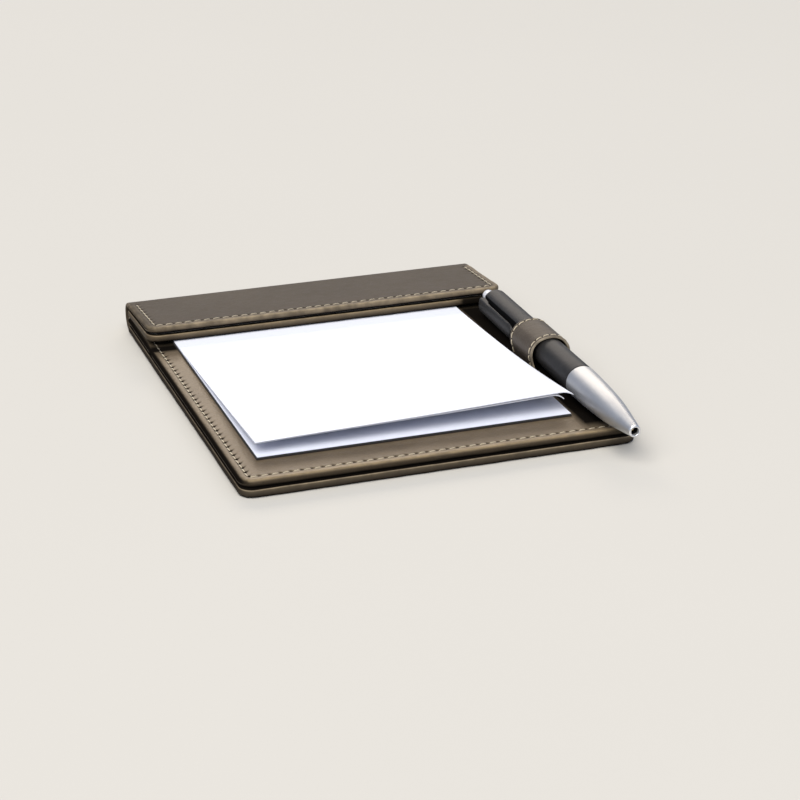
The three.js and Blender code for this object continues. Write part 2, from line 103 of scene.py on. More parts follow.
# ------------------------------------------------------------------ materials
class Mat:
    def __init__(self, name):
        self.m = bpy.data.materials.new(name)
        self.m.use_nodes = True
        self.t = self.m.node_tree
        self.t.nodes.clear()
        self.out = self.t.nodes.new("ShaderNodeOutputMaterial")
        self.b = self.t.nodes.new("ShaderNodeBsdfPrincipled")
        self.t.links.new(self.b.outputs[0], self.out.inputs[0])
        self.tc = self.t.nodes.new("ShaderNodeTexCoord")

    def node(self, kind, **kw):
        n = self.t.nodes.new(kind)
        for k, v in kw.items():
            if k.startswith("_"):
                setattr(n, k[1:], v)
            else:
                n.inputs[k.replace("__", " ")].default_value = v
        return n

    def link(self, a, b):
        self.t.links.new(a, b)

    def coord(self, which="Object", scale=None):
        out = self.tc.outputs[which]
        if scale is None:
            return out
        mp = self.node("ShaderNodeMapping")
        mp.inputs["Scale"].default_value = scale
        self.link(out, mp.inputs["Vector"])
        return mp.outputs[0]

    def noise(self, scale, detail=4.0, rough=0.55, coord=None, distortion=0.0):
        n = self.node("ShaderNodeTexNoise")
        n.inputs["Scale"].default_value = scale
        n.inputs["Detail"].default_value = detail
        n.inputs["Roughness"].default_value = rough
        n.inputs["Distortion"].default_value = distortion
        self.link(coord or self.coord(), n.inputs["Vector"])
        return n.outputs["Fac"]

    def voronoi(self, scale, feature="F1", coord=None, out="Distance", rand=1.0):
        n = self.node("ShaderNodeTexVoronoi", _feature=feature)
        n.inputs["Scale"].default_value = scale
        n.inputs["Randomness"].default_value = rand
        self.link(coord or self.coord(), n.inputs["Vector"])
        return n.outputs[out]

    def ramp(self, fac, stops, interp="LINEAR"):
        n = self.node("ShaderNodeValToRGB")
        r = n.color_ramp
        r.interpolation = interp
        while len(r.elements) < len(stops):
            r.elements.new(0.5)
        for e, (p, c) in zip(r.elements, stops):
            e.position = p
            e.color = (*c, 1.0) if hasattr(c, "__len__") else (c, c, c, 1.0)
        self.link(fac, n.inputs["Fac"])
        return n.outputs["Color"]

    def mix(self, fac, a, b, blend="MIX"):
        n = self.node("ShaderNodeMix", _data_type="RGBA", _blend_type=blend)
        for sock, val in ((n.inputs[0], fac), (n.inputs[6], a), (n.inputs[7], b)):
            if isinstance(val, (float, int)):
                sock.default_value = float(val)
            elif isinstance(val, tuple):
                sock.default_value = (*val, 1.0)
            else:
                self.link(val, sock)
        return n.outputs[2]

    def math(self, op, a, b=0.0, c=0.0, clamp=False):
        n = self.node("ShaderNodeMath", _operation=op, _use_clamp=clamp)
        for i, val in enumerate((a, b, c)):
            if isinstance(val, (float, int)):
                n.inputs[i].default_value = float(val)
            else:
                self.link(val, n.inputs[i])
        return n.outputs[0]

    def attr(self, name):
        n = self.node("ShaderNodeAttribute")
        n.attribute_name = name
        return n.outputs["Fac"]

    def bump(self, height, strength, distance, prev=None):
        n = self.node("ShaderNodeBump")
        n.inputs["Strength"].default_value = strength
        n.inputs["Distance"].default_value = distance
        self.link(height, n.inputs["Height"])
        if prev is not None:
            self.link(prev, n.inputs["Normal"])
        return n.outputs[0]

    def set(self, **kw):
        for k, v in kw.items():
            s = self.b.inputs[k.replace("__", " ")]
            if isinstance(v, (float, int)):
                s.default_value = float(v)
            elif isinstance(v, tuple):
                s.default_value = (*v, 1.0) if len(v) == 3 and s.type == "RGBA" else v
            else:
                self.link(v, s)
        return self.m


def shade_under_pen(m):
    """painted shadow on the strip of leather below the pen and its loop, and on the margin at the flap's left corner,
    where light hardly reaches
    """
    sep = m.node("ShaderNodeSeparateXYZ")
    m.link(m.coord(), sep.inputs[0])
    x = m.math("ADD", sep.outputs["X"], m.math("MULTIPLY", m.math("SUBTRACT", m.noise(60, 2, 0.5), 0.5), 0.0012))
    y = sep.outputs["Y"]
    def band(v, a, b, soft, lead=None):
        up = m.math("DIVIDE", m.math("SUBTRACT", v, a), lead or soft, clamp=True)
        down = m.math("DIVIDE", m.math("SUBTRACT", b, v), soft, clamp=True)
        return m.math("MULTIPLY", up, down)
    pen = m.math("MULTIPLY", band(x, 0.0482, 0.0634, 0.0016, 0.0026), band(y, -0.0768, 0.0480, 0.0080, 0.0065))
    corner = m.math("MULTIPLY", band(x, -0.0664, -0.0505, 0.0020, 0.0006), band(y, 0.0338, 0.0500, 0.0105, 0.0024))
    corner = m.math("MULTIPLY", corner, band(sep.outputs["Z"], -0.001, 0.0076, 0.0006))
    return m.math("MAXIMUM", pen, corner)


def leather(name, dark, base, light, edge, rough=0.42, metal=0.25, grain=1.0, spec=0.5, tint=(1.0, 0.86, 0.66), strip=0.0, front=None):
    m = Mat(name)
    cloud = m.noise(34, 5, 0.6)
    mott = m.noise(360, 6, 0.62, distortion=0.3)
    cell = m.voronoi(1450, "SMOOTH_F1")
    crease = m.voronoi(1450, "DISTANCE_TO_EDGE")
    fine = m.noise(5200, 3, 0.6)
    speck = m.noise(1100, 4, 0.65)
    tone = m.math("ADD", m.math("MULTIPLY", cloud, 0.45), m.math("MULTIPLY", mott, 0.35))
    tone = m.math("ADD", tone, m.math("MULTIPLY", speck, 0.20))
    col = m.ramp(tone, [(0.32, dark), (0.5, base), (0.68, light)])
    pores = m.ramp(crease, [(0.0, 0.72), (0.10, 1.0)])
    col = m.mix(0.55, col, pores, "MULTIPLY")
    # painted highlight: the mesh's edge attribute, made patchy by noise, mixes the edge colour in
    e = m.math("MULTIPLY", m.attr("edge"), m.ramp(m.noise(240, 4, 0.6), [(0.35, 0.35), (0.65, 1.0)]))
    # painted highlight: the base's lower front face gets the lighter front colour, in patches
    if front:
        sep = m.node("ShaderNodeSeparateXYZ")
        m.link(m.coord(), sep.inputs[0])
        painted_front_highlight = m.math("DIVIDE", m.math("SUBTRACT", -0.0715, sep.outputs["Y"]), 0.004, clamp=True)
        painted_front_highlight = m.math("MULTIPLY", painted_front_highlight, m.math("DIVIDE", m.math("SUBTRACT", 0.0044, sep.outputs["Z"]), 0.0008, clamp=True))
        col = m.mix(m.math("MULTIPLY", painted_front_highlight, m.ramp(mott, [(0.3, 0.6), (0.7, 1.0)])), col, front)
    col = m.mix(e, col, edge)
    # painted shade: near black in the seam's holes and grooves, the gaps between layers and the rolls' undersides, read
    # from the mesh, plus the painted shadow under the pen; the sheen is dulled there too
    cav = m.attr("cav")
    if strip:
        cav = m.math("MAXIMUM", cav, m.math("MULTIPLY", shade_under_pen(m), strip))
    col = m.mix(cav, col, (0.0062, 0.0050, 0.0040))
    r = m.math("ADD", m.math("MULTIPLY", mott, 0.22), rough - 0.11)
    r = m.math("ADD", r, m.math("MULTIPLY", cav, 0.4))
    slow = m.noise(75, 3, 0.5)
    b = m.bump(slow, 0.22, 0.0012)
    b = m.bump(m.noise(300, 3, 0.5), 0.16, 0.0003, b)
    b = m.bump(m.noise(950, 4, 0.6), 0.30 * grain, 0.00010, b)
    b = m.bump(cell, 0.42 * grain, 0.00011, b)
    b = m.bump(fine, 0.22 * grain, 0.00004, b)
    dull = m.math("MULTIPLY", m.math("SUBTRACT", 1.0, cav, clamp=True), spec)
    return m.set(Base__Color=col, Roughness=r, Normal=b, Metallic=metal, Specular__IOR__Level=dull, Specular__Tint=tint)


def paper(name, tint, scale=1.0):
    m = Mat(name)
    fib = m.noise(900 * scale, 6, 0.7, coord=m.coord("Object", (1, 2.2, 1)))
    cloud = m.noise(60, 3, 0.5)
    lo = tuple(c * 0.975 for c in tint)
    col = m.ramp(m.math("ADD", m.math("MULTIPLY", fib, 0.6), m.math("MULTIPLY", cloud, 0.4)), [(0.35, lo), (0.6, tint)])
    b = m.bump(fib, 0.10, 0.00003)
    b = m.bump(m.noise(4200, 3, 0.6), 0.12, 0.00001, b)
    r = m.math("ADD", m.math("MULTIPLY", fib, 0.12), 0.66)
    return m.set(Base__Color=col, Roughness=r, Normal=b, Specular__IOR__Level=0.3, Sheen__Weight=0.05)


def thread(name, dark, light, strip=0.0):
    m = Mat(name)
    uv = m.coord("UV")
    w = m.node("ShaderNodeTexWave", _wave_type="BANDS", _bands_direction="DIAGONAL")
    w.inputs["Scale"].default_value = 1.0
    w.inputs["Distortion"].default_value = 1.2
    w.inputs["Detail"].default_value = 2.0
    m.link(m.coord("UV", (3.4, 1.2, 1)), w.inputs["Vector"])
    fib = m.noise(9000, 3, 0.6)
    col = m.ramp(m.math("ADD", m.math("MULTIPLY", w.outputs["Fac"], 0.6), m.math("MULTIPLY", fib, 0.4)), [(0.15, dark), (0.75, light)])
    # painted shadow under the pen, laid over the thread too
    if strip:
        col = m.mix(m.math("MULTIPLY", shade_under_pen(m), strip), col, (0.06, 0.045, 0.028))
    b = m.bump(w.outputs["Fac"], 0.6, 0.00006)
    b = m.bump(fib, 0.25, 0.00002, b)
    return m.set(Base__Color=col, Roughness=0.62, Normal=b, Sheen__Weight=0.25, Specular__IOR__Level=0.35)


def plastic(name, base, rough=0.36, vary=0.25, spec=0.5):
    m = Mat(name)
    n = m.noise(700, 5, 0.6)
    f = m.noise(7000, 3, 0.6)
    lo = tuple(c * (1 - vary) for c in base)
    hi = tuple(min(1.0, c * (1 + vary)) for c in base)
    col = m.ramp(n, [(0.35, lo), (0.65, hi)])
    scr = m.noise(160, 5, 0.7, coord=m.coord("Object", (1, 0.06, 1)))
    r = m.math("ADD", m.math("MULTIPLY", scr, 0.14), rough - 0.07)
    b = m.bump(f, 0.10, 0.00002)
    b = m.bump(n, 0.04, 0.00004, b)
    return m.set(Base__Color=col, Roughness=r, Normal=b, Specular__IOR__Level=spec)


def metal(name, base, rough=0.3, metallic=1.0, vary=0.06, aniso=0.0):
    m = Mat(name)
    n = m.noise(500, 5, 0.6)
    lathe = m.noise(2600, 3, 0.6, coord=m.coord("Object", (0.15, 1, 0.15)))
    lo = tuple(c * (1 - vary) for c in base)
    col = m.ramp(n, [(0.35, lo), (0.65, base)])
    r = m.math("ADD", m.math("MULTIPLY", n, 0.10), rough - 0.05)
    r = m.math("ADD", r, m.math("MULTIPLY", lathe, 0.05))
    b = m.bump(m.noise(9000, 2, 0.6), 0.06, 0.00001)
    b = m.bump(lathe, 0.03, 0.00001, b)
    return m.set(Base__Color=col, Roughness=r, Normal=b, Metallic=metallic, Anisotropic=aniso)


def board(name, base):
    m = Mat(name)
    fib = m.noise(1500, 7, 0.7, coord=m.coord("Object", (1, 1, 4)))
    col = m.ramp(fib, [(0.3, tuple(c * 0.7 for c in base)), (0.7, base)])
    b = m.bump(fib, 0.4, 0.0001)
    return m.set(Base__Color=col, Roughness=0.9, Normal=b)


# each leather's fourth colour is its painted highlight; strip=1.0 lays the painted shadow under the pen on the inner
# leather, front= a painted highlight on the base's front face
LEATHER = leather("leather_inner", (0.093, 0.0685, 0.0425), (0.128, 0.0957, 0.0606), (0.164, 0.125, 0.082), (0.295, 0.219, 0.122), metal=0.04, spec=0.46, strip=1.0)
FLAP_LEATHER = leather("leather_outer", (0.0365, 0.0280, 0.0192), (0.049, 0.0375, 0.0264), (0.0635, 0.0495, 0.035), (0.32, 0.250, 0.160), rough=0.56, metal=0.0, spec=0.22, front=(0.108, 0.086, 0.060))
LOOP_LEATHER = leather("leather_loop", (0.045, 0.0353, 0.0265), (0.060, 0.048, 0.037), (0.076, 0.0615, 0.048), (0.50, 0.42, 0.30), rough=0.52, metal=0.0, spec=0.32)
PAPER = paper("paper_white", (0.815, 0.83, 0.89))
# a darker, bluer copy of the paper for the pad's block under the lifted sheets: painted shade
PAPER_PAINTED_SHADE = paper("paper_block_painted_shade", (0.72, 0.742, 0.825), 1.3)
# the backing card is near black and shows as a rim along the pad's left and front edges: painted shade
PAINTED_SHADE_CARD = board("card_black_painted_shade", (0.030, 0.027, 0.025))
BOARD = board("board_grey", (0.36, 0.33, 0.28))
THREAD = thread("thread_beige", (0.36, 0.29, 0.18), (0.70, 0.61, 0.44))
# the base's thread carries the painted shadow under the pen; the flap's thread is a darker copy of the same beige
# thread, painted shade
BASE_THREAD = thread("thread_base", (0.36, 0.29, 0.18), (0.70, 0.61, 0.44), 0.8)
FLAP_THREAD = thread("thread_flap_painted_shade", (0.30, 0.24, 0.155), (0.60, 0.52, 0.375))
BLACK = plastic("plastic_charcoal", (0.0175, 0.0165, 0.0155), 0.48, 0.2, 0.28)
SILVER = metal("satin_silver", (0.572, 0.570, 0.566), 0.44, 0.87)
BUTTON = plastic("button_white", (0.62, 0.62, 0.64), 0.22, 0.03)
CAM = plastic("cam_plastic", (0.70, 0.70, 0.66), 0.4, 0.05)
REFILL = plastic("refill_tube", (0.03, 0.04, 0.16), 0.3, 0.2)
BRASS = metal("brass_tip", (0.60, 0.44, 0.18), 0.3)
STEEL = metal("spring_steel", (0.55, 0.56, 0.57), 0.28)
GLUE = paper("glue_binding", (0.82, 0.83, 0.84), 0.6)
# near-black plastic for the nose's bore and the barrel's recess under the clip: painted shade
PAINTED_SHADE_BLACK = plastic("bore_black_painted_shade", (0.004, 0.004, 0.004), 0.7, 0.3, 0.1)

node_material = {
    "base_board_lower": BOARD, "base_board_upper": BOARD, "flap_board_upper": BOARD, "flap_board_lower": BOARD,
    "pad_glue_binding": GLUE, "pen_cam_plunger": CAM, "pen_cam_sleeve": CAM, "pen_refill_tube": REFILL,
    "pen_refill_tip": BRASS, "pen_spring": STEEL, "pad_backing_card": PAINTED_SHADE_CARD, "pad_sheet_block": PAPER_PAINTED_SHADE,
    "second_sheet": PAPER, "top_sheet": PAPER, "pen_nose_cone": SILVER, "pen_barrel": BLACK, "pen_clip": BLACK,
    "pen_button": BUTTON, "outer_cover_base": FLAP_LEATHER, "inner_cover_base": LEATHER, "outer_cover_flap": FLAP_LEATHER,
    "inner_cover_flap": LEATHER, "base_seam_thread": THREAD, "flap_seam_thread": FLAP_THREAD, "pen_loop": LOOP_LEATHER,
    "pen_loop_thread_front": THREAD, "pen_loop_thread_rear": THREAD,
}
for nm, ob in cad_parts.items():
    ob.data.materials.clear()
    ob.data.materials.append(node_material[nm])


# ------------------------------------------------------------------ leather covers
class Outline:
    """Samples along the left, front and right edges of a panel, uniform in length on the seam line."""

    def __init__(self, y0, y1, step):
        self.y0, self.y1 = y0, y1
        rs = CORNER_R - SEAM
        n_side = int(round((y1 - y0 - CORNER_R) / step))
        n_front = int(round((W - 2 * CORNER_R) / step))
        na = 10
        self.samples = [(0, i / n_side) for i in range(n_side)] + [(1, i / na) for i in range(na)]
        self.samples += [(2, i / n_front) for i in range(n_front)] + [(3, i / na) for i in range(na)]
        self.samples += [(4, i / n_side) for i in range(n_side + 1)]
        p = np.array([self.at(k, SEAM)[:2] for k in range(len(self.samples))])
        self.arc = np.concatenate([[0], np.cumsum(np.hypot(*np.diff(p, axis=0).T))])
        self.total = self.arc[-1]
        count = int(round((self.total - 2.0) / PITCH))
        self.pitch = (self.total - 2.0) / count
        self.holes = 1.0 + self.pitch * np.arange(count + 1)
        self.da = np.abs(self.arc[:, None] - self.holes[None, :]).min(1)

    def at(self, i, inset):
        """x, y and outward direction"""
        seg, t = self.samples[i]
        r = max(CORNER_R - inset, 0.35)
        xl, xr, yf = inset, W - inset, self.y0 + inset
        if seg == 0:
            return xl, lerp(self.y1, yf + r, t), -1.0, 0.0
        if seg == 1:
            a = math.pi + t * math.pi / 2
            return xl + r + r * math.cos(a), yf + r + r * math.sin(a), math.cos(a), math.sin(a)
        if seg == 2:
            return lerp(xl + r, xr - r, t), yf, 0.0, -1.0
        if seg == 3:
            a = 1.5 * math.pi + t * math.pi / 2
            return xr - r + r * math.cos(a), yf + r + r * math.sin(a), math.cos(a), math.sin(a)
        return xr, lerp(yf + r, self.y1, t), 1.0, 0.0

    def seam_point(self, a):
        i = int(np.clip(np.searchsorted(self.arc, a) - 1, 0, len(self.arc) - 2))
        t = (a - self.arc[i]) / max(1e-9, self.arc[i + 1] - self.arc[i])
        p, q = self.at(i, SEAM), self.at(i + 1, SEAM)
        o = np.array([lerp(p[2], q[2], t), lerp(p[3], q[3], t)])
        return np.array([lerp(p[0], q[0], t), lerp(p[1], q[1], t)]), o / np.linalg.norm(o)


SEAM_RINGS = [9.0, 6.6, 5.2, 4.5, 4.05, 3.75, 3.52, 3.34, 3.15, 2.98, 2.8, 2.58, 2.3, 1.95, 1.6]
PLAIN_RINGS = [6.0, 2.4, 1.32, 1.24, 1.16]
ARC = 7


def rings(ro, ri, seam_side, ledge):
    """(side, inset, offset, carries the seam, how far round the rolled corner 0..1); the plain side steps back by the ledge near its rim"""
    fo, fi = (SEAM_RINGS, PLAIN_RINGS) if seam_side == "o" else (PLAIN_RINGS, SEAM_RINGS)
    lo, li = (0.0, ledge) if seam_side == "o" else (ledge, 0.0)
    step = lambda d, h: h * smooth(1.32, 1.16, d)
    out = [("o", d, step(d, lo), seam_side == "o", -1.0) for d in fo]
    for j in range(ARC + 1):
        a = math.pi / 2 * j / ARC
        out.append(("o", ro * (1 - math.sin(a)), ro * (1 - math.cos(a)) + lo, False, j / ARC))
    for j in range(ARC, -1, -1):
        a = math.pi / 2 * j / ARC
        out.append(("i", ri * (1 - math.sin(a)), ri * (1 - math.cos(a)) + li, False, j / ARC))
    out += [("i", d, step(d, li), seam_side == "i", -1.0) for d in reversed(fi)]
    return out


def relief(d, outline):
    """depth into the leather at inset d all along the seam, and how much painted shade the hollow gets"""
    g = d - SEAM
    da = np.abs(outline.arc[:, None] - outline.holes[None, :]).min(1)
    side = np.array([abs(outline.at(i, d)[2]) for i in range(len(outline.samples))])
    side = 0.18 + 0.82 * side ** 2
    slant = np.abs(outline.arc[:, None] + 0.42 * (g - 0.1) - outline.holes[None, :]).min(1)
    groove = math.exp(-((g + 0.26) / 0.15) ** 2)
    pull = math.exp(-(((g - 0.75) / 0.62) ** 2))
    depth = 0.09 * math.exp(-((g / 0.42) ** 2)) + 0.05 * groove
    depth = depth + 0.42 * np.exp(-((g - 0.14) / 0.30) ** 2 - (da / 0.42) ** 2)
    depth = depth + 0.10 * np.exp(-((slant / 0.48) ** 2)) * pull * side
    depth = depth - 0.04 * math.exp(-(((g + 1.05) / 0.6) ** 2)) * (1 - 0.8 * np.exp(-((da / 0.8) ** 2)))
    cav = (0.9 + 0.8 * side) * np.exp(-((g - 0.12 - 0.08 * side) / 0.34) ** 2 - (da / (0.42 + 0.14 * side)) ** 2) + 0.65 * groove
    cav = cav + 0.95 * np.exp(-((slant / 0.42) ** 2)) * pull * side
    return depth, np.clip(cav, 0, 1)


def panel(outline, ring_spec, z_out, z_in, seam_side, extra=None, seed=0.0, wobble=0.14, hole_dark=1.0, roll_dark=(0.22, 0.85)):
    """vertices ring by ring from the middle of the outer face, over the rolled edge, to the middle of the inner face"""
    n = len(outline.samples)
    verts, edge, cav = [], [], []
    for k, (side, inset, offset, has_seam, roll) in enumerate(ring_spec):
        dep, cv = relief(inset, outline) if has_seam else (np.zeros(n), np.zeros(n))
        for i in range(n):
            x, y, ox, oy = outline.at(i, inset)
            t = (y - outline.y0) / (outline.y1 - outline.y0)
            zo, zi = lerp(z_out[0], z_out[1], t), lerp(z_in[0], z_in[1], t)
            up = 1.0 if zi > zo else -1.0
            fade = smooth(5.0, 1.5, inset)
            end = smooth(0.0, 6.0, outline.arc[i]) * smooth(0.0, 6.0, outline.total - outline.arc[i])
            a = outline.arc[i]
            wob = wobble * fade * end * (n1(a / 11.0, seed, 1.0) + 0.55 * n1(a / 3.6, seed, 5.0))
            off = offset + dep[i] * (end if end < 0.5 else 1.0)
            if extra is not None:
                off += extra(side, inset, t)
            corner, ct = outline.samples[i]
            if corner in (1, 3) and inset < 2.6 and side == seam_side:
                off += 0.10 * math.sin(math.pi * ct) * (math.cos(15 * ct + seed) + 0.6 * math.cos(27 * ct)) * smooth(2.6, 1.2, inset)
            sag = 0.75 * wob
            z = (zo + up * (off + sag * (side == "o" and offset > 0))) if side == "o" else (zi - up * (off + sag * (offset > 0)))
            verts.append((x - ox * wob * 0.6 * (1 if inset < 2.6 else 0), y - oy * wob * 0.6 * (1 if inset < 2.6 else 0), z))
            # e is painted highlight, c painted shade, starting from the shade painted into the seam's holes and grooves
            e, c = 0.0, cv[i] * hole_dark
            top_side = (side == "o" and up < 0) or (side == "i" and up > 0)
            if top_side and side == seam_side:      # a rolled upper edge: painted highlight on top, painted shade towards the groove below it and along the left side
                left = max(0.0, -ox) ** 2
                e = 0.50 * smooth(2.5, 1.9, inset) if roll < 0 else 0.50 + 0.5 * math.exp(-(((roll - 0.30) / 0.22) ** 2))
                e *= (1.0 - smooth(roll_dark[0] + 0.15, roll_dark[1] + 0.1, roll)) * (1 - 0.62 * left)
                c += (0.70 + 0.15 * left) * smooth(roll_dark[0] - 0.3 * left, roll_dark[1] - 0.4 * left, roll) + 0.26 * left * smooth(2.3, 1.2, inset)
            elif top_side:                          # the upper rim of a lower layer: a thin painted highlight on the corner behind a ledge painted black as shade
                c += 0.95 * smooth(1.6, 1.3, inset) * (roll < 0.12)
                left = max(0.0, -ox) ** 2
                e = 1.0 * math.exp(-(((roll - 0.42) / 0.26) ** 2)) * (roll > 0.05) * (1 - 0.5 * left) + (0.45 if hole_dark < 1 else 0.26) * smooth(0.5, 1.0, roll) * (1 - 0.9 * left)
                c += (0.30 * (0.5 if hole_dark < 1 else 1.0) + 0.42 * left) * smooth(0.55 - 0.3 * left, 1.0 - 0.2 * left, roll)
            elif side != seam_side:                 # the underside of an upper layer: painted shade, and on the flap a faint painted highlight as well
                if hole_dark < 1:
                    c += 0.14 + 0.82 * smooth(0.80, 0.20, roll)
                    e = 0.45 * smooth(0.45, 1.0, roll)
                else:
                    c += 0.72 + 0.25 * smooth(1.0, 0.4, roll)
            else:
                # the lower rolled edge of a seamed layer, facing down: painted shade
                c += 0.60 + 0.38 * smooth(1.0, 0.4, roll) if roll >= 0 else 0.0
            edge.append(min(1.0, e))
            cav.append(min(1.0, c))
    return verts, edge, cav, n


def strip_faces(first, n, count, faces, flip):
    for k in range(count - 1):
        a, b = first + k * n, first + (k + 1) * n
        for i in range(n - 1):
            f = (a + i, a + i + 1, b + i + 1, b + i)
            faces.append(f[::-1] if flip else f)


def catmull(points, per):
    p = np.asarray(points, float)
    out = []
    for i in range(len(p) - 1):
        p0, p1, p2, p3 = p[max(i - 1, 0)], p[i], p[i + 1], p[min(i + 2, len(p) - 1)]
        for j in range(per):
            t = j / per
            out.append(0.5 * ((2 * p1) + (-p0 + p2) * t + (2 * p0 - 5 * p1 + 4 * p2 - p3) * t * t + (-p0 + 3 * p1 - 3 * p2 + p3) * t ** 3))
    out.append(p[-1])
    return np.array(out)


def cover(name, base_outline, flap_outline, base_z, flap_z, base_r, flap_r, seam_side, stations, recess, mats, ledges, flap_extra=None):
    """One leather skin round a base panel and a flap panel, joined by the fold at the back."""
    ra, rb = rings(*base_r, seam_side, ledges[0]), rings(*flap_r, seam_side, ledges[1])
    K = len(ra)
    va, ea, ca, na = panel(base_outline, ra, *base_z, seam_side, seed=len(name) + 0.3)
    vb, eb, cb, nb = panel(flap_outline, rb, *flap_z, seam_side, extra=flap_extra, seed=len(name) + 7.7, hole_dark=0.35, roll_dark=(0.92, 1.5))
    verts, edge, cav = va + vb, ea + eb, ca + cb
    faces = []
    off = len(va)
    flip_a = base_z[0][0] > base_z[1][0]
    flip_b = flap_z[0][0] > flap_z[1][0]
    strip_faces(0, na, K, faces, not flip_a)
    strip_faces(off, nb, K, faces, not flip_b)
    # flat middles
    for first, n, flip in ((0, na, flip_a), (off, nb, flip_b)):
        lo = list(range(first, first + n))
        hi = list(range(first + (K - 1) * n, first + K * n))
        faces.append(lo[::-1] if not flip else lo)
        faces.append(hi if not flip else hi[::-1])
    # fold
    st = catmull([[*o, *i] for o, i in stations], 3)
    S = len(st)
    cols = []           # cols[s][k] = (left index, right index)
    for s in range(S):
        if s == 0:
            cols.append([(k * na, k * na + na - 1) for k in range(K)])
            continue
        if s == S - 1:
            cols.append([(off + k * nb, off + k * nb + nb - 1) for k in range(K)])
            continue
        u = s / (S - 1)
        O, I = st[s][:2], st[s][2:]
        d = (I - O) / np.linalg.norm(I - O)
        rec = recess * math.sin(math.pi * u) ** 0.6
        row = []
        for k in range(K):
            (side, ia, oa, _, _), (_, ib, ob_, _, _) = ra[k], rb[k]
            inset, o = lerp(ia, ib, u) + rec, lerp(oa, ob_, u)
            thick = np.linalg.norm(I - O)
            o = min(o, 0.48 * thick)
            if flap_extra is not None:
                o += flap_extra(side, ib, 1.0) * smooth(0.78, 1.0, u)
            q = O + d * o if side == "o" else I - d * o
            for x in (inset, W - inset):
                verts.append((x, q[0], q[1]))
                # a faint painted highlight on the fold's outer roll
                edge.append(0.25 if (side == "o" and 0 < oa) else 0.0)
                cav.append(0.0)
            row.append((len(verts) - 2, len(verts) - 1))
        cols.append(row)
    for s in range(S - 1):
        A, B = cols[s], cols[s + 1]
        for k in range(K - 1):
            faces.append((A[k][0], A[k + 1][0], B[k + 1][0], B[k][0]))
            faces.append((A[k][1], B[k][1], B[k + 1][1], A[k + 1][1]))
        faces.append((A[0][0], B[0][0], B[0][1], A[0][1]))
        faces.append((A[K - 1][0], A[K - 1][1], B[K - 1][1], B[K - 1][0]))
    ob = build(name, verts, faces, mats[0], attrs={"edge": edge, "cav": cav})
    me = ob.data
    if len(mats) > 1:
        me.materials.append(mats[1])
        zc = np.zeros(len(me.polygons) * 3)
        me.polygons.foreach_get("center", zc)
        zc = zc.reshape(-1, 3)
        me.polygons.foreach_set("material_index", (zc[:, 2] > mats[2] * 0.001).astype(np.int32))
    import bmesh
    bm = bmesh.new()
    bm.from_mesh(me)
    bmesh.ops.recalc_face_normals(bm, faces=bm.faces)
    bm.to_mesh(me)
    bm.free()
    return ob


STEP = 0.36
base_line = Outline(0.0, BOARD_END, STEP)
flap_line = Outline(FLAP_FRONT, BOARD_END, STEP)

outer = cover(
    "outer_leather", base_line, flap_line,
    ((0.0, 0.0), (3.25, 3.25)), ((13.2, 10.9), (10.70, 9.25)), (1.1, 0.42), (1.1, 0.85), "o",
    [((150.5, 0.0), (150.5, 3.25)), ((151.3, 0.12), (151.2, 2.8)), ((152.3, 0.42), (152.0, 2.5)), ((153.4, 0.95), (152.75, 2.6)),
     ((154.4, 1.66), (153.4, 3.0)), ((155.3, 2.5), (153.95, 3.6)), ((156.0, 3.45), (154.4, 4.3)), ((156.42, 4.5), (154.7, 5.1)),
     ((156.58, 5.5), (154.82, 5.9)), ((156.56, 6.6), (154.8, 6.7)), ((156.42, 7.7), (154.6, 7.5)), ((156.1, 8.8), (154.2, 8.2)),
     ((155.5, 9.7), (153.6, 8.75)), ((154.6, 10.3), (152.8, 9.05)), ((153.3, 10.68), (151.9, 9.17)), ((151.9, 10.84), (151.2, 9.22)),
     ((150.5, 10.9), (150.5, 9.25))],
    0.25, (FLAP_LEATHER,), (0.5, 0.35))
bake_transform(outer)
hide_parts("outer_cover_base", "outer_cover_flap")


def under_flap(side, inset, t):
    """the underside of the flap rises over the pad"""
    if side != "i":
        return 0.0
    return lerp(0.05, 0.72, t) * smooth(5.6, 8.4, inset)


fold = [((150.5, 3.55), (150.5, 6.05)), ((151.2, 3.72), (150.9, 6.05)), ((151.9, 4.05), (151.25, 6.06)), ((152.5, 4.6), (151.5, 6.08)),
        ((152.9, 5.3), (151.62, 6.11)), ((153.03, 5.9), (151.66, 6.13))]
fold += [((153.05, 6.14 + 0.19 * j / 5), (151.67, 6.14 + 0.19 * j / 5)) for j in range(6)]
fold += [((153.02, 6.6), (151.66, 6.345)), ((152.9, 7.2), (151.6, 6.36)), ((152.6, 7.8), (151.45, 6.37)), ((152.1, 8.35), (151.2, 6.38)),
         ((151.4, 8.76), (150.9, 6.38)), ((150.5, 8.95), (150.5, 6.38))]
inner = cover(
    "inner_leather", base_line, flap_line,
    ((3.55, 3.55), (6.05, 6.05)), ((10.40, 8.95), (7.55, 6.38)), (1.1, 1.25), (0.45, 1.0), "i",
    fold, 0.9, (LEATHER,), (0.08, 0.30), under_flap)
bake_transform(inner)
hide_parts("inner_cover_base", "inner_cover_flap")


